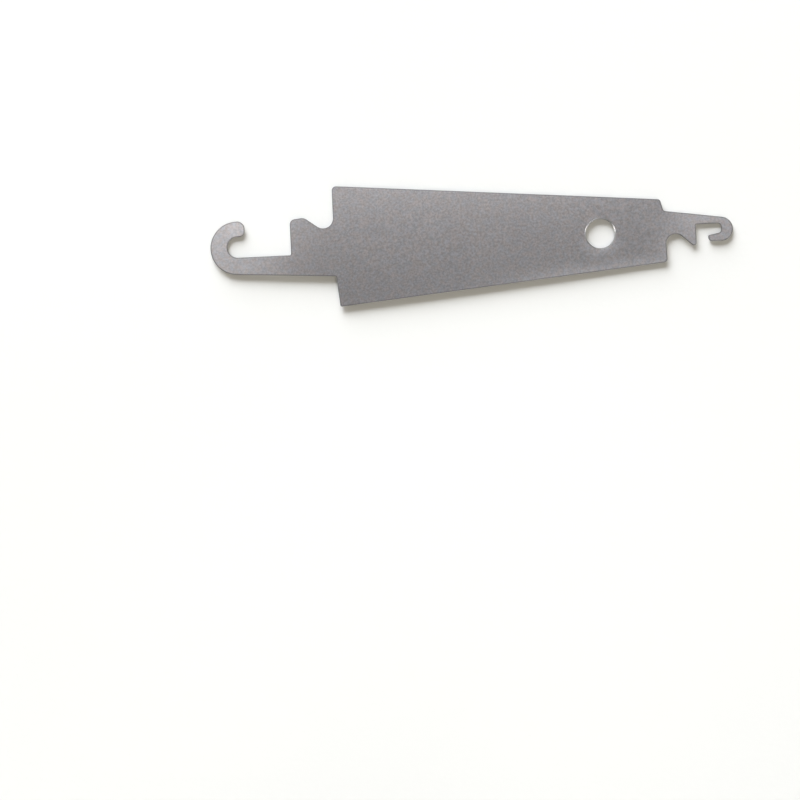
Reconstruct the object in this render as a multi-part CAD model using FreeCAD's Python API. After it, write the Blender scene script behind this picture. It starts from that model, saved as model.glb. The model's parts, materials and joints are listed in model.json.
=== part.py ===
import FreeCAD, Part
import collections
import math
import os

# Double-ended needle threader: one flat steel blank, cut out of thin sheet.
# A tapered grip carries a hanging hole near its narrow end. A large hook for yarn
# stands out of the wide end and a small hook for thread out of the narrow end.
#
# Frame: millimetres. The blank lies flat on Z = 0 with +Z up. The origin is the
# bottom centre of its bounding box, and +X runs along it towards the thread hook.

# ---------------------------------------------------------------- the sheet
SHEET_THICKNESS = 0.25
TOP_EDGE_ROUND = 0.04
BOTTOM_EDGE_ROUND = 0.03

# ---------------------------------------------------------------- the grip
OVERALL_LENGTH = 45.0
GRIP_LENGTH = 28.49
WIDE_END_HALF_WIDTH = 5.20
NARROW_END_HALF_WIDTH = 2.71

# ---------------------------------------------------------------- the hanging hole
HOLE_RADIUS = 1.25
HOLE_CHAMFER = 0.10
HOLE_FROM_NARROW_END = 5.57

# ---------------------------------------------------------------- the hooks
# Both ends of the grip have the same layout: a notch, a tooth, a throat open to one
# side, a round bend and a straight shank that widens towards the grip. Each hook is
# laid out from its own end of the grip, with "out" pointing away from the grip and
# "up" towards the back of the shank. Each corner is turned on the radius beside it.
Hook = collections.namedtuple("Hook", [
    "reach",                # end of the grip to the outermost point of the bend
    "notch_apex_up",        # where the notch's flank would meet the end of the grip
    "notch_radius",
    "tooth_corners",        # (out, up, radius) for each corner of the tooth
    "throat_start_out",     # the tooth's face towards the throat
    "throat_start_radius",
    "throat_end_out",
    "throat_top_up",
    "throat_bottom_up",
    "throat_end_radius",
    "tip_inner_out",        # the arm's free end, on the throat's side
    "tip_inner_up",
    "tip_inner_radius",
    "tip_outer_out",        # the arm's free end, on the outside
    "tip_outer_radius",
    "bend_centre_up",
    "bend_radius",
    "shank_slope",          # degrees that the back of the shank falls on its way out
    "shoulder_out",         # where the back of the shank meets the grip
    "shoulder_radius",
    "notch_side_corner_out",
    "notch_side_corner_radius",
    "shoulder_side_corner_out",
    "shoulder_side_corner_radius",
])

YARN_HOOK = Hook(
    reach=10.65,
    notch_apex_up=-0.74,
    notch_radius=0.88,
    tooth_corners=[(2.52, -2.61, 0.75), (3.73, -2.45, 0.45)],
    throat_start_out=3.73,
    throat_start_radius=0.15,
    throat_end_out=9.20,
    throat_top_up=0.57,
    throat_bottom_up=-1.23,
    throat_end_radius=0.90,
    tip_inner_out=7.65,
    tip_inner_up=-1.23,
    tip_inner_radius=0.50,
    tip_outer_out=7.65,
    tip_outer_radius=0.65,
    bend_centre_up=-0.26,
    bend_radius=2.29,
    shank_slope=3.6,
    shoulder_out=-0.05,
    shoulder_radius=0.12,
    notch_side_corner_out=-0.02,
    notch_side_corner_radius=0.36,
    shoulder_side_corner_out=-0.30,
    shoulder_side_corner_radius=0.12,
)

THREAD_HOOK = Hook(
    reach=5.86,
    notch_apex_up=0.77,
    notch_radius=0.83,
    tooth_corners=[(2.67, -1.66, 0.22)],
    throat_start_out=2.67,
    throat_start_radius=0.10,
    throat_end_out=4.87,
    throat_top_up=0.415,
    throat_bottom_up=-0.38,
    throat_end_radius=0.36,
    tip_inner_out=3.72,
    tip_inner_up=-0.58,
    tip_inner_radius=0.15,
    tip_outer_out=3.72,
    tip_outer_radius=0.30,
    bend_centre_up=-0.07,
    bend_radius=1.03,
    shank_slope=8.4,
    shoulder_out=-0.06,
    shoulder_radius=0.25,
    notch_side_corner_out=0.11,
    notch_side_corner_radius=0.32,
    shoulder_side_corner_out=-0.31,
    shoulder_side_corner_radius=0.28,
)

# ---------------------------------------------------------------- derived places
BEND_END_X = -OVERALL_LENGTH / 2
WIDE_END_X = BEND_END_X + YARN_HOOK.reach
NARROW_END_X = WIDE_END_X + GRIP_LENGTH
HOLE_X = NARROW_END_X - HOLE_FROM_NARROW_END
SHORTEST_EDGE = 1e-4


def end_corners(hook, half_width):
    """Corners of one end, from the grip's corner beside the notch, round the hook, to the other corner."""
    slope = math.radians(hook.shank_slope)
    bend_bottom = hook.bend_centre_up - hook.bend_radius
    bend_top = hook.bend_centre_up + hook.bend_radius * math.tan(math.pi / 4 - slope / 2)
    shoulder_up = bend_top + (hook.reach - hook.shoulder_out) * math.tan(slope)
    return [
        (hook.notch_side_corner_out, -half_width, hook.notch_side_corner_radius),
        (0.0, hook.notch_apex_up, hook.notch_radius),
        *hook.tooth_corners,
        (hook.throat_start_out, hook.throat_top_up, hook.throat_start_radius),
        (hook.throat_end_out, hook.throat_top_up, hook.throat_end_radius),
        (hook.throat_end_out, hook.throat_bottom_up, hook.throat_end_radius),
        (hook.tip_inner_out, hook.tip_inner_up, hook.tip_inner_radius),
        (hook.tip_outer_out, bend_bottom, hook.tip_outer_radius),
        (hook.reach, bend_bottom, hook.bend_radius),
        (hook.reach, bend_top, hook.bend_radius),
        (hook.shoulder_out, shoulder_up, hook.shoulder_radius),
        (hook.shoulder_side_corner_out, half_width, hook.shoulder_side_corner_radius),
    ]


def blank_corners():
    """Every corner of the blank, anticlockwise seen from above, as (x, y, radius)."""
    narrow_end = [
        (NARROW_END_X + out, up, radius)
        for out, up, radius in end_corners(THREAD_HOOK, NARROW_END_HALF_WIDTH)
    ]
    wide_end = [
        (WIDE_END_X - out, -up, radius)
        for out, up, radius in end_corners(YARN_HOOK, WIDE_END_HALF_WIDTH)
    ]
    return narrow_end + wide_end


def corner_arc(before, corner, after):
    """Start, middle and end of the arc that turns the outline at a corner."""
    point = FreeCAD.Vector(corner[0], corner[1], 0)
    back = (FreeCAD.Vector(before[0], before[1], 0) - point).normalize()
    ahead = (FreeCAD.Vector(after[0], after[1], 0) - point).normalize()
    half_angle = back.getAngle(ahead) / 2
    radius = corner[2]
    inward = (back + ahead).normalize()
    centre = point + inward * (radius / math.sin(half_angle))
    reach = radius / math.tan(half_angle)
    return point + back * reach, centre - inward * radius, point + ahead * reach


def rounded_outline(corners):
    """A closed wire through the corners, each turned on its own radius."""
    count = len(corners)
    arcs = [
        corner_arc(corners[i - 1], corners[i], corners[(i + 1) % count])
        for i in range(count)
    ]
    edges = []
    for i, (start, middle, end) in enumerate(arcs):
        edges.append(Part.Arc(start, middle, end).toShape())
        next_start = arcs[(i + 1) % count][0]
        if end.distanceToPoint(next_start) > SHORTEST_EDGE:
            edges.append(Part.makeLine(end, next_start))
    return Part.Wire(edges)


def edges_at(shape, height, around_hole):
    """The flat edges at one height: those of the hanging hole's rim, or those of the outline."""
    centre = FreeCAD.Vector(HOLE_X, 0, height)
    found = []
    for edge in shape.Edges:
        box = edge.BoundBox
        level = max(abs(box.ZMin - height), abs(box.ZMax - height)) < SHORTEST_EDGE
        at_hole = edge.CenterOfMass.distanceToPoint(centre) < HOLE_RADIUS
        if level and at_hole == around_hole:
            found.append(edge)
    return found


def make_threader_plate():
    """The whole threader: the sheet blank with its edges broken by tumbling and its hole chamfered above."""
    sheet = Part.Face(rounded_outline(blank_corners()))
    blank = sheet.extrude(FreeCAD.Vector(0, 0, SHEET_THICKNESS))
    hole = Part.makeCylinder(HOLE_RADIUS, SHEET_THICKNESS, FreeCAD.Vector(HOLE_X, 0, 0))
    plate = blank.cut(hole)
    plate = plate.makeFillet(TOP_EDGE_ROUND, edges_at(plate, SHEET_THICKNESS, around_hole=False))
    plate = plate.makeChamfer(HOLE_CHAMFER, edges_at(plate, SHEET_THICKNESS, around_hole=True))
    plate = plate.makeFillet(BOTTOM_EDGE_ROUND, edges_at(plate, 0, around_hole=False))
    plate = plate.makeFillet(BOTTOM_EDGE_ROUND, edges_at(plate, 0, around_hole=True))
    return plate.Solids[0]


os.makedirs("parts", exist_ok=True)
threader_plate = make_threader_plate()
threader_plate.exportStep("parts/threader_plate.step")
print("threader_plate", threader_plate.ShapeType, "valid", threader_plate.isValid())
print("box", threader_plate.BoundBox, "volume", round(threader_plate.Volume, 3))
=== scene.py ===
import collections
import json
import math

import bmesh
import bpy
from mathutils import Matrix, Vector, geometry


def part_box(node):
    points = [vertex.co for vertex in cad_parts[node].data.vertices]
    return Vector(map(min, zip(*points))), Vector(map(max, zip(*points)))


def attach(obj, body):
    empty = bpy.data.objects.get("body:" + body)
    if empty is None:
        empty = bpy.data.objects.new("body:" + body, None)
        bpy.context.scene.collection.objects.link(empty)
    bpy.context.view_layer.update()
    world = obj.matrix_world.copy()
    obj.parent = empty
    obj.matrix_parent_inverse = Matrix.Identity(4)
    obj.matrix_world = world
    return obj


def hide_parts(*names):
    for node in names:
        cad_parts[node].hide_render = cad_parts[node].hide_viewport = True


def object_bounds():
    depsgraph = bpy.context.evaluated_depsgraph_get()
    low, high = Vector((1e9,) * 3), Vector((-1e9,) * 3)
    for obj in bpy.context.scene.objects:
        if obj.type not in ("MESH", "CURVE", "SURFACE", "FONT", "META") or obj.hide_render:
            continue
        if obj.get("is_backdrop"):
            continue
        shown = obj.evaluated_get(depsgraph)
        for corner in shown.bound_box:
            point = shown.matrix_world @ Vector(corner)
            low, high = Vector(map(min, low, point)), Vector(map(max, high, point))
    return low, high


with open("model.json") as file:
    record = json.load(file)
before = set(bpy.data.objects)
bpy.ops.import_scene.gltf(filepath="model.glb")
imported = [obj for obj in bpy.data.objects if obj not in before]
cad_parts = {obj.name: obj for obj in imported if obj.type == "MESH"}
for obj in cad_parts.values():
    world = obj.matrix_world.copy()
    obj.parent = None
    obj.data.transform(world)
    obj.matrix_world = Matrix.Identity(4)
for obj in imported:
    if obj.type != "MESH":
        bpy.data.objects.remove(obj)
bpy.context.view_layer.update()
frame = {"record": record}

# A double-ended needle threader of thin satin steel, lying flat on a pale table.
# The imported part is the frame: this file gives the sheet its finished shape and its looks.
# The cut edge of a stamped blank isn't one plain fillet. Its upper rim is drawn down in a
# soft roll, the wall below is burnished smooth, and the last stretch is broken metal.
# Only the hole has a chamfer instead of the roll.
# Sizes of the sheet are in millimetres, as in the design, and become metres in the mesh.
MM = 0.001
NODE = "threader_plate"

# ---------------------------------------------------------------- the sheet, from the frame
node_low, node_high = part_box(NODE)
MOUNTS = {mount["name"]: mount for mount in frame["record"]["mounts"]}
HOLE_X, HOLE_Y = (MOUNTS["hanging_hole"]["pos_m"][i] / MM for i in (0, 1))
HOLE_RADIUS = MOUNTS["hanging_hole"]["dims"]["r_mm"]
THICKNESS = (node_high.z - node_low.z) / MM
BEND_END_X = node_low.x / MM

# ---------------------------------------------------------------- the blank's outline
GRIP_LENGTH = 28.49
WIDE_END_HALF_WIDTH = 5.20
NARROW_END_HALF_WIDTH = 2.71

# Each hook is laid out from its own end of the grip, with "out" pointing away from the
# grip and "up" towards the back of the shank. Each corner is turned on its own radius.
Hook = collections.namedtuple("Hook", [
    "reach", "notch_apex_up", "notch_radius", "tooth_corners",
    "throat_start_out", "throat_start_radius", "throat_end_out",
    "throat_top_up", "throat_bottom_up", "throat_end_radius",
    "tip_inner_out", "tip_inner_up", "tip_inner_radius", "tip_outer_out", "tip_outer_radius",
    "bend_centre_up", "bend_radius", "shank_slope", "shoulder_out", "shoulder_radius",
    "notch_side_corner_out", "notch_side_corner_radius",
    "shoulder_side_corner_out", "shoulder_side_corner_radius",
])

YARN_HOOK = Hook(
    reach=10.65, notch_apex_up=-0.74, notch_radius=0.88,
    tooth_corners=[(2.52, -2.61, 0.75), (3.73, -2.45, 0.45)],
    throat_start_out=3.73, throat_start_radius=0.15, throat_end_out=9.20,
    throat_top_up=0.57, throat_bottom_up=-1.23, throat_end_radius=0.90,
    tip_inner_out=7.65, tip_inner_up=-1.23, tip_inner_radius=0.50,
    tip_outer_out=7.65, tip_outer_radius=0.65,
    bend_centre_up=-0.26, bend_radius=2.29, shank_slope=3.6,
    shoulder_out=-0.05, shoulder_radius=0.12,
    notch_side_corner_out=-0.02, notch_side_corner_radius=0.36,
    shoulder_side_corner_out=-0.30, shoulder_side_corner_radius=0.12,
)

THREAD_HOOK = Hook(
    reach=5.86, notch_apex_up=0.77, notch_radius=0.83,
    tooth_corners=[(2.67, -1.66, 0.22)],
    throat_start_out=2.67, throat_start_radius=0.10, throat_end_out=4.87,
    throat_top_up=0.415, throat_bottom_up=-0.38, throat_end_radius=0.36,
    tip_inner_out=3.72, tip_inner_up=-0.58, tip_inner_radius=0.15,
    tip_outer_out=3.72, tip_outer_radius=0.30,
    bend_centre_up=-0.07, bend_radius=1.03, shank_slope=8.4,
    shoulder_out=-0.06, shoulder_radius=0.25,
    notch_side_corner_out=0.11, notch_side_corner_radius=0.32,
    shoulder_side_corner_out=-0.31, shoulder_side_corner_radius=0.28,
)

WIDE_END_X = BEND_END_X + YARN_HOOK.reach
NARROW_END_X = WIDE_END_X + GRIP_LENGTH

# ---------------------------------------------------------------- the cut edge
# Insets go from the outline into the metal, and depths from the upper face down.
ROLL_WIDTH = 0.042
ROLL_DEPTH = 0.036
ROLL_STEPS = 7
HOLE_CHAMFER = 0.10
CHAMFER_BLEND = 0.014
BLEND_STEPS = 4
BURNISH_DEPTH = 0.150
BURNISH_INSET = 0.003
BREAK_BLEND = 0.008
BREAK_INSET = 0.012
BOTTOM_ROUND = 0.030
BOTTOM_STEPS = 4
RIM_SUPPORT = 0.015

# ---------------------------------------------------------------- how flat the sheet lies
# A crown is the fall per square millimetre from the middle line, and the twist is the
# slope across a hook. A span runs from where something starts beyond the grip's narrow end
# to where it is full.
WIDE_END_CROWN = 0.0036
NARROW_END_CROWN = 0.0065
HOOK_TWIST = 0.035
BOW_HEIGHT = 0.30
BOW_TOP_X = -6.0
THREAD_TWIST_SPAN = (-1.5, 1.5)

# ---------------------------------------------------------------- where the finish is worn and where sheen is painted
# The lower long edge gets painted sheen: a brighter band in the colour that stands in for light off the edge.
SHEEN_BAND_WIDTH = 1.3
SHEEN_BAND_START_X = -2.0
SHEEN_BAND_FULL_X = 9.0
# Over this span beyond the grip's narrow end the thread hook turns brighter, partly from wear and partly as
# painted sheen.
THREAD_WEAR_AND_SHEEN_SPAN = (-2.6, 3.6)

# ---------------------------------------------------------------- how fine the mesh is
# The sagitta is how far a straight step may cut inside its arc. CDT_INSIDE is the kind of
# triangulation that stays inside the outer ring. Two triangles join where they are flat to
# within FLAT_ANGLE and their square's corners are right to within SQUARE_ANGLE.
FACET_SAGITTA = 0.0004
LONGEST_STEP = 0.30
WIDEST_TURN = math.radians(12)
FILL_PITCH = 0.28
FILL_MARGIN = 0.16
MERGE_DISTANCE = 1e-6
CDT_INSIDE = 1
FLAT_ANGLE = math.radians(5)
SQUARE_ANGLE = math.radians(50)

# ---------------------------------------------------------------- the steel's finish
# Where the hole's chamfer is polished, POLISHED_HEIGHT takes the place of the grain's height.
# The rim's look reaches RIM_WIDTH in from an edge; along the blank's outline it is a painted dark line of
# shade. The back's look starts BACK_START above the lower face and is full at BACK_FULL above it.
GRAIN_SIZE = 0.18
GRAIN_DEPTH = 0.0050
FINE_GRAIN_SIZE = 0.07
FINE_GRAIN_DEPTH = 0.0014
ROLLING_WIDTH = 0.07
ROLLING_STRETCH = 60
ROLLING_DEPTH = 0.0006
TINT_SIZE = 0.38
MOTTLE_SIZE = 0.9
POLISHED_HEIGHT = 0.5
RIM_WIDTH = 0.13
BACK_START = 0.020
BACK_FULL = 0.002

# Pairs run from the lowest grain to the highest, or from one end of a noise to the other.
FACE_TONES = ((0.389, 0.387, 0.425), (0.571, 0.568, 0.621))
# The brighter tones are partly wear and partly painted sheen on the hooks. Along the lower long edge they are
# painted sheen only.
RUBBED_AND_SHEEN_TONES = ((0.530, 0.530, 0.580), (0.702, 0.701, 0.766))
WARM_AND_COOL = ((1.0, 0.968, 0.932), (0.948, 0.984, 1.0))
CLOUD_TONES = ((0.95, 0.95, 0.955), (1.0, 1.0, 0.995))
# Along the blank's outline the rim is painted this dark, as shade on the edge.
OUTLINE_RIM_PAINTED_SHADE = (0.245, 0.243, 0.262)
HOLE_RIM_TONE = (0.58, 0.58, 0.60)
BREAK_TONE = (0.30, 0.29, 0.29)
FACE_ROUGHNESS = (0.370, 0.402)
OUTLINE_RIM_ROUGHNESS = 0.44
HOLE_RIM_ROUGHNESS = 0.27
BREAK_ROUGHNESS = 0.60

# ---------------------------------------------------------------- the table
# Its own size is in metres. Its tooth and the slow drift of its tone are in millimetres.
TABLE_SIZE = 1.6
TABLE_TONES = ((0.85, 0.85, 0.845), (0.88, 0.88, 0.875))
TABLE_ROUGHNESS = (0.75, 0.85)
TABLE_SPECULAR = 0.2
TOOTH_SIZE = 0.5
TOOTH_DEPTH = 0.01
DRIFT_SIZE = 60.0

# ---------------------------------------------------------------- the light
# Each softbox lights either the table or the steel. Azimuth 0 is +X and 90 is +Y, in degrees.
# Distances and sizes are in metres, and powers in watts.
LAMP_DISTANCE = {"table": 1.8, "steel": 0.9}
DAYLIGHT = (0.94, 0.97, 1.0)
REFLECTED = (1.0, 0.93, 0.78)
SHEEN = (1.0, 0.955, 0.895)
FILL = (1.0, 0.975, 0.93)
CREAM_CARD = (1.0, 0.97, 0.90)
WHITE_CARD = (1.0, 0.99, 0.97)

Softbox = collections.namedtuple("Softbox", [
    "name", "lights", "azimuth", "elevation", "size", "power", "colour",
])

SOFTBOXES = (
    Softbox("window", "table", azimuth=108, elevation=18, size=1.7, power=112.0, colour=DAYLIGHT),
    Softbox("bounce", "table", azimuth=-72, elevation=62, size=1.2, power=9.8, colour=REFLECTED),
    Softbox("sheen", "steel", azimuth=101, elevation=62, size=0.16, power=2.50, colour=SHEEN),
    Softbox("fill", "steel", azimuth=-58, elevation=60, size=0.16, power=1.56, colour=FILL),
    Softbox("left_card", "steel", azimuth=195, elevation=8, size=0.40, power=2.1, colour=CREAM_CARD),
    Softbox("right_card", "steel", azimuth=-15, elevation=8, size=0.40, power=2.1, colour=CREAM_CARD),
    Softbox("back_card", "steel", azimuth=135, elevation=24, size=0.9, power=1.5, colour=WHITE_CARD),
    Softbox("front_card", "steel", azimuth=-45, elevation=16, size=0.9, power=1.5, colour=WHITE_CARD),
)

# The room's own light, as (sine of the elevation, colour), from the horizon up.
ROOM_LIGHT = (
    (0.00, (0.300, 0.2850, 0.2500)),
    (0.12, (0.360, 0.3456, 0.3096)),
    (0.42, (0.300, 0.2880, 0.2580)),
    (0.62, (0.100, 0.0960, 0.0860)),
    (0.80, (0.055, 0.0528, 0.0473)),
    (1.00, (0.050, 0.0485, 0.0450)),
)
BACKDROP = (1.0, 1.0, 0.99)

# ---------------------------------------------------------------- the camera
# Its height is in metres, and the view's width and place are shares of the threader's length.
CAMERA_HEIGHT = 0.30
VIEW_WIDTH = 1.529
VIEW_CENTRE_LEFT = 0.152
VIEW_CENTRE_BELOW = 0.299
CAMERA_TURN = math.radians(-2.77)


def end_corners(hook, half_width):
    """Corners of one end, from the grip's corner beside the notch round the hook to its other corner."""
    slope = math.radians(hook.shank_slope)
    bend_bottom = hook.bend_centre_up - hook.bend_radius
    bend_top = hook.bend_centre_up + hook.bend_radius * math.tan(math.pi / 4 - slope / 2)
    shoulder_up = bend_top + (hook.reach - hook.shoulder_out) * math.tan(slope)
    return [
        (hook.notch_side_corner_out, -half_width, hook.notch_side_corner_radius),
        (0.0, hook.notch_apex_up, hook.notch_radius),
        *hook.tooth_corners,
        (hook.throat_start_out, hook.throat_top_up, hook.throat_start_radius),
        (hook.throat_end_out, hook.throat_top_up, hook.throat_end_radius),
        (hook.throat_end_out, hook.throat_bottom_up, hook.throat_end_radius),
        (hook.tip_inner_out, hook.tip_inner_up, hook.tip_inner_radius),
        (hook.tip_outer_out, bend_bottom, hook.tip_outer_radius),
        (hook.reach, bend_bottom, hook.bend_radius),
        (hook.reach, bend_top, hook.bend_radius),
        (hook.shoulder_out, shoulder_up, hook.shoulder_radius),
        (hook.shoulder_side_corner_out, half_width, hook.shoulder_side_corner_radius),
    ]


def blank_corners():
    """Every corner of the blank, anticlockwise seen from above, as (point, radius)."""
    narrow_end = [
        (Vector((NARROW_END_X + out, up)), radius)
        for out, up, radius in end_corners(THREAD_HOOK, NARROW_END_HALF_WIDTH)
    ]
    wide_end = [
        (Vector((WIDE_END_X - out, -up)), radius)
        for out, up, radius in end_corners(YARN_HOOK, WIDE_END_HALF_WIDTH)
    ]
    return narrow_end + wide_end


def turn_step(radius):
    """The largest turn between two points of an arc that keeps it round."""
    return min(WIDEST_TURN, 2 * math.acos(1 - FACET_SAGITTA / radius))


def corner_stations(before, corner, after, radius):
    """Points round one corner's arc, each with the direction into the metal."""
    back = (before - corner).normalized()
    ahead = (after - corner).normalized()
    left_turn = back.cross(ahead) < 0
    half_angle = back.angle(ahead) / 2
    centre = corner + (back + ahead).normalized() * (radius / math.sin(half_angle))
    start = corner + back * (radius / math.tan(half_angle)) - centre
    turn = math.pi - 2 * half_angle
    steps = max(2, math.ceil(turn / turn_step(radius)))
    stations = []
    for i in range(steps + 1):
        angle = turn * i / steps * (1 if left_turn else -1)
        spoke = Vector((
            start.x * math.cos(angle) - start.y * math.sin(angle),
            start.x * math.sin(angle) + start.y * math.cos(angle),
        ))
        inward = -spoke.normalized() if left_turn else spoke.normalized()
        stations.append((centre + spoke, inward))
    return stations


def outline_stations():
    """Points all round the blank, closest on the arcs, each with the direction into the metal."""
    corners = blank_corners()
    arcs = [
        corner_stations(
            corners[i - 1][0], corners[i][0], corners[(i + 1) % len(corners)][0], corners[i][1])
        for i in range(len(corners))
    ]
    stations = []
    for i, arc in enumerate(arcs):
        stations += arc
        end, inward = arc[-1]
        gap = arcs[(i + 1) % len(arcs)][0][0] - end
        steps = math.ceil(gap.length / LONGEST_STEP)
        stations += [(end + gap * (j / steps), inward) for j in range(1, steps)]
    kept = []
    for point, inward in stations:
        if not kept or (point - kept[-1][0]).length > MERGE_DISTANCE:
            kept.append((point, inward))
    return kept


def hole_stations():
    """Points round the hanging hole, clockwise seen from above, each with the direction into the metal."""
    count = math.ceil(2 * math.pi / turn_step(HOLE_RADIUS))
    centre = Vector((HOLE_X, HOLE_Y))
    spokes = [
        Vector((math.cos(2 * math.pi * i / count), -math.sin(2 * math.pi * i / count)))
        for i in range(count)
    ]
    return [(centre + spoke * HOLE_RADIUS, spoke) for spoke in spokes]


def rolled_rim(width, depth):
    """An upper rim drawn down in a quarter ellipse, as (inset from the outline, depth)."""
    angles = [math.pi / 2 * i / ROLL_STEPS for i in range(ROLL_STEPS + 1)]
    return [(width * (1 - math.sin(angle)), depth * (1 - math.cos(angle))) for angle in angles]


def chamfered_rim(size):
    """An upper rim with its corner cut off at 45 degrees, as (inset from the outline, depth)."""
    lean = CHAMFER_BLEND / math.sqrt(2)
    upper = blend((size + CHAMFER_BLEND, 0), (size, 0), (size - lean, lean))
    lower = blend((lean, size - lean), (0, size), (0, size + CHAMFER_BLEND))
    return upper + lower


def blend(start, corner, end):
    """Points on a short smooth curve that cuts a corner."""
    points = []
    for i in range(BLEND_STEPS + 1):
        t = i / BLEND_STEPS
        shares = ((1 - t) ** 2, 2 * t * (1 - t), t ** 2)
        points.append(tuple(
            shares[0] * start[j] + shares[1] * corner[j] + shares[2] * end[j] for j in (0, 1)))
    return points


def edge_profile(rim):
    """The cut edge from the upper face down to the lower one, as (inset from the outline, depth)."""
    profile = [(rim[0][0] + RIM_SUPPORT, 0.0)] + rim
    profile.append((0.0, BURNISH_DEPTH - BREAK_BLEND))
    profile.append((BURNISH_INSET, BURNISH_DEPTH))
    for i in range(BOTTOM_STEPS + 1):
        angle = math.pi / 2 * i / BOTTOM_STEPS
        inset = BREAK_INSET + BOTTOM_ROUND * (1 - math.cos(angle))
        profile.append((inset, THICKNESS - BOTTOM_ROUND * (1 - math.sin(angle))))
    profile.append((BREAK_INSET + BOTTOM_ROUND + RIM_SUPPORT, THICKNESS))
    return profile


def smooth_share(value, low, high):
    """0 below low, 1 above high and a smooth step between them."""
    share = min(1.0, max(0.0, (value - low) / (high - low)))
    return share * share * (3 - 2 * share)


def hook_share(x, thread_start, thread_end):
    """0 on the grip and 1 at both hooks' ends.

    It rises smoothly as far as the yarn hook's throat ends, and from thread_start to thread_end
    beyond the narrow end.
    """
    on_yarn_hook = smooth_share(WIDE_END_X - x, 0, YARN_HOOK.throat_end_out)
    return on_yarn_hook + smooth_share(x - NARROW_END_X, thread_start, thread_end)


def painted_edge_sheen(place, edge_distance):
    """1 along the lower long edge, where a band of painted sheen brightens it, fading out inside it and
    towards the wide end.
    """
    along = smooth_share(place.x, SHEEN_BAND_START_X, SHEEN_BAND_FULL_X)
    on_lower_half = smooth_share(-place.y, 0, NARROW_END_HALF_WIDTH / 2)
    return along * on_lower_half * (1 - smooth_share(edge_distance, 0, SHEEN_BAND_WIDTH))


def sheet_lift(x, y):
    """How far the sheet departs from flat.

    Stamping leaves it bowed along, crowned across, and a little twisted at its hooks. Both
    hooks' bends touch the table.
    """
    narrowness = smooth_share(x, WIDE_END_X, NARROW_END_X)
    crown = WIDE_END_CROWN + (NARROW_END_CROWN - WIDE_END_CROWN) * narrowness
    foot_x = BEND_END_X if x < BOW_TOP_X else -BEND_END_X
    bow = BOW_HEIGHT * ((x - BOW_TOP_X) / (foot_x - BOW_TOP_X)) ** 2
    return -bow - crown * y * y - HOOK_TWIST * hook_share(x, *THREAD_TWIST_SPAN) * y


class SheetMesh:
    """Gathers the sheet's faces and its vertices, in millimetres, with the values that the material reads."""

    def __init__(self):
        self.points = []
        self.edge_distance = []
        self.cut_depth = []
        self.hook_wear_and_sheen = []
        self.painted_edge_sheen = []
        self.hole_rim = []
        self.faces = []

    def add_point(self, place, edge_distance, depth, hole_rim=0.0):
        """One vertex, lifted with the sheet. Returns its index."""
        height = THICKNESS - depth + sheet_lift(place.x, place.y)
        self.points.append(Vector((place.x, place.y, height)))
        self.edge_distance.append(edge_distance)
        self.cut_depth.append(depth)
        self.hook_wear_and_sheen.append(hook_share(place.x, *THREAD_WEAR_AND_SHEEN_SPAN))
        # The edge band is painted sheen. The hooks' brightening is partly wear and partly painted sheen.
        self.painted_edge_sheen.append(painted_edge_sheen(place, edge_distance))
        self.hole_rim.append(hole_rim)
        return len(self.points) - 1

    def add_edge(self, stations, profile, hole_rim=0.0):
        """The skin of one cut edge. Returns its uppermost and lowermost rings as vertex indices."""
        rings = [
            [self.add_point(point + inward * inset, inset, depth, hole_rim) for point, inward in stations]
            for inset, depth in profile
        ]
        for upper, lower in zip(rings, rings[1:]):
            for i in range(len(stations)):
                self.faces.append((upper[i - 1], lower[i - 1], lower[i], upper[i]))
        return rings[0], rings[-1]

    def fill(self, blank_ring, hole_ring, outlines, depth):
        """One flat face of the sheet, between the blank's ring and the hole's, on a square grid of points."""
        indices = blank_ring + hole_ring
        flat = [self.points[i].xy for i in indices]
        hole_start = len(blank_ring)
        ring_edges = [(i, (i + 1) % hole_start) for i in range(hole_start)]
        ring_edges += [
            (hole_start + i, hole_start + (i + 1) % len(hole_ring)) for i in range(len(hole_ring))]
        for point, distance in grid_points(outlines):
            flat.append(point)
            indices.append(self.add_point(point, distance, depth))
        _, _, triangles, origins, _, _ = geometry.delaunay_2d_cdt(
            flat, ring_edges, [], CDT_INSIDE, MERGE_DISTANCE)
        # The triangles that fill the hole are the ones that join only its own ring's points.
        across_hole = set(hole_ring)
        for triangle in triangles:
            corners = [indices[origins[i][0]] for i in triangle]
            if depth > 0:
                corners.reverse()
            if not across_hole.issuperset(corners):
                self.faces.append(tuple(corners))


def is_inside(point, polygon):
    """True if a point lies inside a closed polygon."""
    inside = False
    for i, b in enumerate(polygon):
        a = polygon[i - 1]
        if (a.y > point.y) != (b.y > point.y):
            crossing = a.x + (point.y - a.y) / (b.y - a.y) * (b.x - a.x)
            if crossing > point.x:
                inside = not inside
    return inside


def distance_to(point, polygon):
    """The distance from a point to a closed polygon's nearest side."""
    nearest = math.inf
    for i, b in enumerate(polygon):
        a = polygon[i - 1]
        side = b - a
        share = min(1.0, max(0.0, (point - a).dot(side) / side.length_squared))
        nearest = min(nearest, (point - a - side * share).length)
    return nearest


def grid_points(outlines):
    """A square grid of points inside the blank and clear of its hole, each with its distance to an edge."""
    blank, hole = outlines
    low_x, high_x = node_low.x / MM, node_high.x / MM
    low_y, high_y = node_low.y / MM, node_high.y / MM
    found = []
    for i in range(math.floor((high_x - low_x) / FILL_PITCH)):
        for j in range(math.floor((high_y - low_y) / FILL_PITCH)):
            point = Vector((low_x + (i + 0.5) * FILL_PITCH, low_y + (j + 0.5) * FILL_PITCH))
            if not is_inside(point, blank) or is_inside(point, hole):
                continue
            distance = min(distance_to(point, blank), distance_to(point, hole))
            if distance > FILL_MARGIN:
                found.append((point, distance))
    return found


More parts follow.
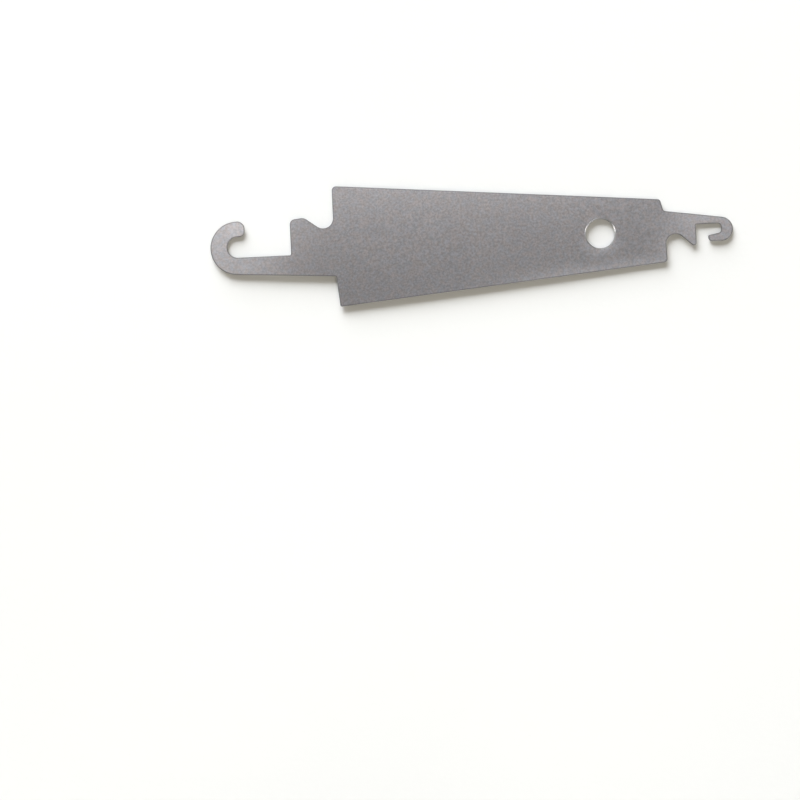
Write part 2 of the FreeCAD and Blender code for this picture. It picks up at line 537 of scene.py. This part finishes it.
def make_threader():
    """The threader as one closed mesh in metres, resting on the table."""
    blank = outline_stations()
    hole = hole_stations()
    outlines = [[point for point, inward in stations] for stations in (blank, hole)]
    sheet = SheetMesh()
    blank_top, blank_bottom = sheet.add_edge(blank, edge_profile(rolled_rim(ROLL_WIDTH, ROLL_DEPTH)))
    hole_top, hole_bottom = sheet.add_edge(
        hole, edge_profile(chamfered_rim(HOLE_CHAMFER)), hole_rim=1.0)
    sheet.fill(blank_top, hole_top, outlines, 0.0)
    sheet.fill(blank_bottom, hole_bottom, outlines, THICKNESS)
    lowest = min(point.z for point in sheet.points)
    mesh = bpy.data.meshes.new("stamped_threader")
    points = [(point - Vector((0, 0, lowest))) * MM for point in sheet.points]
    mesh.from_pydata(points, [], sheet.faces)
    for name in ("edge_distance", "cut_depth", "hook_wear_and_sheen", "painted_edge_sheen", "hole_rim"):
        attribute = mesh.attributes.new(name, "FLOAT", "POINT")
        attribute.data.foreach_set("value", getattr(sheet, name))
    square_up(mesh)
    mesh.shade_smooth()
    threader = bpy.data.objects.new("stamped_threader", mesh)
    bpy.context.scene.collection.objects.link(threader)
    return threader


def square_up(mesh):
    """Joins the pairs of flat triangles that make a good square."""
    work = bmesh.new()
    work.from_mesh(mesh)
    triangles = [face for face in work.faces if len(face.verts) == 3]
    bmesh.ops.join_triangles(
        work, faces=triangles, angle_face_threshold=FLAT_ANGLE, angle_shape_threshold=SQUARE_ANGLE)
    work.to_mesh(mesh)
    work.free()


# ---------------------------------------------------------------- materials
class Nodes:
    """Builds one material's nodes, in millimetres of the object's own frame."""

    # A Mix node's colour sockets share their names with its number sockets.
    COLOUR_A, COLOUR_B, COLOUR_RESULT = 6, 7, 2

    def __init__(self, name):
        self.material = bpy.data.materials.new(name)
        self.material.use_nodes = True
        self.tree = self.material.node_tree
        self.tree.nodes.clear()
        self.shader = self.tree.nodes.new("ShaderNodeBsdfPrincipled")
        output = self.tree.nodes.new("ShaderNodeOutputMaterial")
        self.link(self.shader.outputs["BSDF"], output.inputs["Surface"])
        self.place = self.tree.nodes.new("ShaderNodeTexCoord").outputs["Object"]

    def link(self, source, target):
        self.tree.links.new(source, target)

    def fill_input(self, socket, value):
        """A socket takes another node's output, or a plain value."""
        if isinstance(value, bpy.types.NodeSocket):
            self.link(value, socket)
        else:
            socket.default_value = value

    def noise(self, size, detail=2.0, roughness=0.5, stretch=(1, 1, 1)):
        """Soft noise from 0 to 1 whose blotches are about size millimetres across, times stretch."""
        mapping = self.tree.nodes.new("ShaderNodeMapping")
        self.link(self.place, mapping.inputs["Vector"])
        mapping.inputs["Scale"].default_value = [1 / (size * MM * s) for s in stretch]
        texture = self.tree.nodes.new("ShaderNodeTexNoise")
        texture.inputs["Scale"].default_value = 1.0
        texture.inputs["Detail"].default_value = detail
        texture.inputs["Roughness"].default_value = roughness
        self.link(mapping.outputs["Vector"], texture.inputs["Vector"])
        return texture.outputs["Fac"]

    def attribute(self, name):
        """One of the mesh's own values."""
        node = self.tree.nodes.new("ShaderNodeAttribute")
        node.attribute_name = name
        return node.outputs["Fac"]

    def ramp(self, value, low, high, to_low=0.0, to_high=1.0):
        """A smooth step of a value from low to high, onto to_low to to_high."""
        node = self.tree.nodes.new("ShaderNodeMapRange")
        node.interpolation_type = "SMOOTHSTEP"
        self.link(value, node.inputs["Value"])
        spans = (("From Min", low), ("From Max", high), ("To Min", to_low), ("To Max", to_high))
        for name, number in spans:
            node.inputs[name].default_value = number
        return node.outputs["Result"]

    def maths(self, operation, first, second):
        """Arithmetic on two values."""
        node = self.tree.nodes.new("ShaderNodeMath")
        node.operation = operation
        self.fill_input(node.inputs[0], first)
        self.fill_input(node.inputs[1], second)
        return node.outputs["Value"]

    def mix_numbers(self, share, first, second):
        """first where share is 0, second where it is 1."""
        node = self.tree.nodes.new("ShaderNodeMix")
        node.data_type = "FLOAT"
        self.link(share, node.inputs["Factor"])
        self.fill_input(node.inputs["A"], first)
        self.fill_input(node.inputs["B"], second)
        return node.outputs["Result"]

    def mix_colours(self, share, first, second):
        """first where share is 0, second where it is 1."""
        node = self.tree.nodes.new("ShaderNodeMix")
        node.data_type = "RGBA"
        self.link(share, node.inputs["Factor"])
        for index, value in ((self.COLOUR_A, first), (self.COLOUR_B, second)):
            is_linked = isinstance(value, bpy.types.NodeSocket)
            self.fill_input(node.inputs[index], value if is_linked else (*value, 1.0))
        return node.outputs[self.COLOUR_RESULT]

    def multiply_colours(self, first, second):
        """Two colours multiplied together."""
        node = self.tree.nodes.new("ShaderNodeMix")
        node.data_type = "RGBA"
        node.blend_type = "MULTIPLY"
        node.inputs["Factor"].default_value = 1.0
        self.link(first, node.inputs[self.COLOUR_A])
        self.link(second, node.inputs[self.COLOUR_B])
        return node.outputs[self.COLOUR_RESULT]

    def bump(self, height, depth, below=None):
        """Relief that is depth millimetres deep."""
        node = self.tree.nodes.new("ShaderNodeBump")
        node.inputs["Distance"].default_value = depth * MM
        self.link(height, node.inputs["Height"])
        if below is not None:
            self.link(below, node.inputs["Normal"])
        return node.outputs["Normal"]


def steel_material():
    """Satin steel: a fine matt grain, brighter on the hooks, partly from wear and partly as painted sheen,
    and with a band of painted sheen along one long edge.

    The rolled rim along the outline is rougher and painted darker, as painted shade; the hole's chamfer is
    polished, and the cut wall is half smooth, half broken.
    """
    nodes = Nodes("satin_steel_finish")
    edge_distance = nodes.attribute("edge_distance")
    cut_depth = nodes.attribute("cut_depth")
    hook_wear_and_sheen = nodes.attribute("hook_wear_and_sheen")
    painted_edge_sheen = nodes.attribute("painted_edge_sheen")
    hole_rim = nodes.attribute("hole_rim")
    mottle = nodes.noise(MOTTLE_SIZE, detail=2.0)
    tint = nodes.noise(TINT_SIZE, detail=3.0)
    grain = nodes.noise(GRAIN_SIZE, detail=4.0, roughness=0.68)
    fine_grain = nodes.noise(FINE_GRAIN_SIZE, detail=1.0)
    rolling = nodes.noise(ROLLING_WIDTH, detail=2.0, stretch=(ROLLING_STRETCH, 1, 1))
    rim = nodes.ramp(edge_distance, 0.0, RIM_WIDTH, to_low=1.0, to_high=0.0)
    polish = nodes.maths("MULTIPLY", rim, hole_rim)
    in_break = nodes.ramp(cut_depth, BURNISH_DEPTH - BREAK_BLEND, BURNISH_DEPTH + BREAK_BLEND)
    on_back = nodes.ramp(cut_depth, THICKNESS - BACK_START, THICKNESS - BACK_FULL)
    broken = nodes.maths("SUBTRACT", in_break, on_back)
    # Brighter where the hooks are worn and carry painted sheen, and where a band of painted sheen runs along
    # the lower long edge.
    rubbing_and_sheen = nodes.maths("MAXIMUM", hook_wear_and_sheen, painted_edge_sheen)

    speckle = nodes.ramp(grain, low=0.30, high=0.70)
    face = nodes.mix_colours(speckle, *FACE_TONES)
    rubbed_and_sheen = nodes.mix_colours(speckle, *RUBBED_AND_SHEEN_TONES)
    tone = nodes.mix_colours(rubbing_and_sheen, face, rubbed_and_sheen)
    tinting = nodes.mix_colours(nodes.ramp(tint, low=0.34, high=0.66), *WARM_AND_COOL)
    cloud = nodes.mix_colours(nodes.ramp(mottle, low=0.30, high=0.70), *CLOUD_TONES)
    clouded = nodes.multiply_colours(nodes.multiply_colours(tone, tinting), cloud)
    # The outline's rim is painted dark as shade. The hole's chamfer keeps a lighter tone of its own.
    rim_shade_and_chamfer_tone = nodes.mix_colours(hole_rim, OUTLINE_RIM_PAINTED_SHADE, HOLE_RIM_TONE)
    rim_shaded_and_chamfered = nodes.mix_colours(rim, clouded, rim_shade_and_chamfer_tone)
    colour = nodes.mix_colours(broken, rim_shaded_and_chamfered, BREAK_TONE)
    nodes.link(colour, nodes.shader.inputs["Base Color"])

    face_roughness = nodes.ramp(grain, 0.25, 0.75, *FACE_ROUGHNESS)
    rim_roughness = nodes.mix_numbers(hole_rim, OUTLINE_RIM_ROUGHNESS, HOLE_RIM_ROUGHNESS)
    roughness = nodes.mix_numbers(rim, face_roughness, rim_roughness)
    nodes.link(nodes.mix_numbers(broken, roughness, BREAK_ROUGHNESS), nodes.shader.inputs["Roughness"])

    relief = nodes.bump(rolling, ROLLING_DEPTH)
    relief = nodes.bump(nodes.mix_numbers(polish, grain, POLISHED_HEIGHT), GRAIN_DEPTH, relief)
    relief = nodes.bump(fine_grain, FINE_GRAIN_DEPTH, relief)
    nodes.link(relief, nodes.shader.inputs["Normal"])
    nodes.shader.inputs["Metallic"].default_value = 1.0
    return nodes.material


def table_material():
    """A pale matt table top with a faint paper tooth."""
    nodes = Nodes("pale_table")
    tooth = nodes.noise(TOOTH_SIZE, detail=4.0)
    drift = nodes.noise(DRIFT_SIZE, detail=1.0)
    colour = nodes.mix_colours(nodes.ramp(drift, low=0.3, high=0.7), *TABLE_TONES)
    nodes.link(colour, nodes.shader.inputs["Base Color"])
    nodes.link(nodes.ramp(tooth, 0.2, 0.8, *TABLE_ROUGHNESS), nodes.shader.inputs["Roughness"])
    nodes.link(nodes.bump(tooth, TOOTH_DEPTH), nodes.shader.inputs["Normal"])
    nodes.shader.inputs["Specular IOR Level"].default_value = TABLE_SPECULAR
    return nodes.material


# ---------------------------------------------------------------- table, light and camera
def make_table():
    """A wide pale table under the threader."""
    half = TABLE_SIZE / 2
    mesh = bpy.data.meshes.new("table")
    corners = [(-half, -half, 0), (half, -half, 0), (half, half, 0), (-half, half, 0)]
    mesh.from_pydata(corners, [], [(0, 1, 2, 3)])
    mesh.materials.append(table_material())
    table = bpy.data.objects.new("table", mesh)
    bpy.context.scene.collection.objects.link(table)
    table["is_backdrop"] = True


def add_softbox(softbox):
    """A soft square lamp that looks at the threader.

    One that lights the table gives only diffuse light, which metal doesn't show. One that
    lights the steel gives only gloss, which the matt table hardly shows.
    """
    lamp = bpy.data.lights.new(softbox.name, "AREA")
    lamp.size = softbox.size
    lamp.energy = softbox.power
    lamp.color = softbox.colour
    turn = math.radians(softbox.azimuth)
    rise = math.radians(softbox.elevation)
    level = math.cos(rise)
    away = Vector((math.cos(turn) * level, math.sin(turn) * level, math.sin(rise)))
    stand = bpy.data.objects.new(softbox.name, lamp)
    stand.location = away * LAMP_DISTANCE[softbox.lights]
    stand.rotation_mode = "QUATERNION"
    stand.rotation_quaternion = away.to_track_quat("Z", "Y")
    stand.visible_diffuse = softbox.lights == "table"
    stand.visible_glossy = softbox.lights == "steel"
    bpy.context.scene.collection.objects.link(stand)


def light_room():
    """A room that the camera sees as pale, and whose own light is brightest low down and dim overhead."""
    world = bpy.data.worlds.new("room")
    world.use_nodes = True
    bpy.context.scene.world = world
    tree = world.node_tree
    tree.nodes.clear()
    coordinates = tree.nodes.new("ShaderNodeTexCoord")
    separate = tree.nodes.new("ShaderNodeSeparateXYZ")
    ramp = tree.nodes.new("ShaderNodeValToRGB")
    tree.links.new(coordinates.outputs["Generated"], separate.inputs["Vector"])
    tree.links.new(separate.outputs["Z"], ramp.inputs["Fac"])
    stops = ramp.color_ramp.elements
    for height, _ in ROOM_LIGHT[1:-1]:
        stops.new(height)
    for stop, (_, colour) in zip(stops, ROOM_LIGHT):
        stop.color = (*colour, 1)
    walls = tree.nodes.new("ShaderNodeBackground")
    tree.links.new(ramp.outputs["Color"], walls.inputs["Color"])
    backdrop = tree.nodes.new("ShaderNodeBackground")
    backdrop.inputs["Color"].default_value = (*BACKDROP, 1)
    choice = tree.nodes.new("ShaderNodeMixShader")
    seen_directly, room_input, backdrop_input = choice.inputs
    tree.links.new(tree.nodes.new("ShaderNodeLightPath").outputs["Is Camera Ray"], seen_directly)
    tree.links.new(walls.outputs["Background"], room_input)
    tree.links.new(backdrop.outputs["Background"], backdrop_input)
    output = tree.nodes.new("ShaderNodeOutputWorld")
    tree.links.new(choice.outputs["Shader"], output.inputs["Surface"])


def make_camera():
    """Straight down, from the height of a copy stand, with the threader across the view's upper part."""
    low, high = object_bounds()
    centre = (low + high) / 2
    length = high.x - low.x
    camera_data = bpy.data.cameras.new("camera")
    camera_data.lens = camera_data.sensor_width * CAMERA_HEIGHT / (VIEW_WIDTH * length)
    camera = bpy.data.objects.new("camera", camera_data)
    left = VIEW_CENTRE_LEFT * length
    below = VIEW_CENTRE_BELOW * length
    camera.location = (centre.x - left, centre.y - below, high.z + CAMERA_HEIGHT)
    camera.rotation_euler = (0, 0, CAMERA_TURN)
    bpy.context.scene.collection.objects.link(camera)
    bpy.context.scene.camera = camera


threader = make_threader()
threader.data.materials.append(steel_material())
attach(threader, "root")
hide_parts(NODE)
make_table()
for softbox in SOFTBOXES:
    add_softbox(softbox)
light_room()
make_camera()
bpy.context.scene.view_settings.view_transform = "Standard"
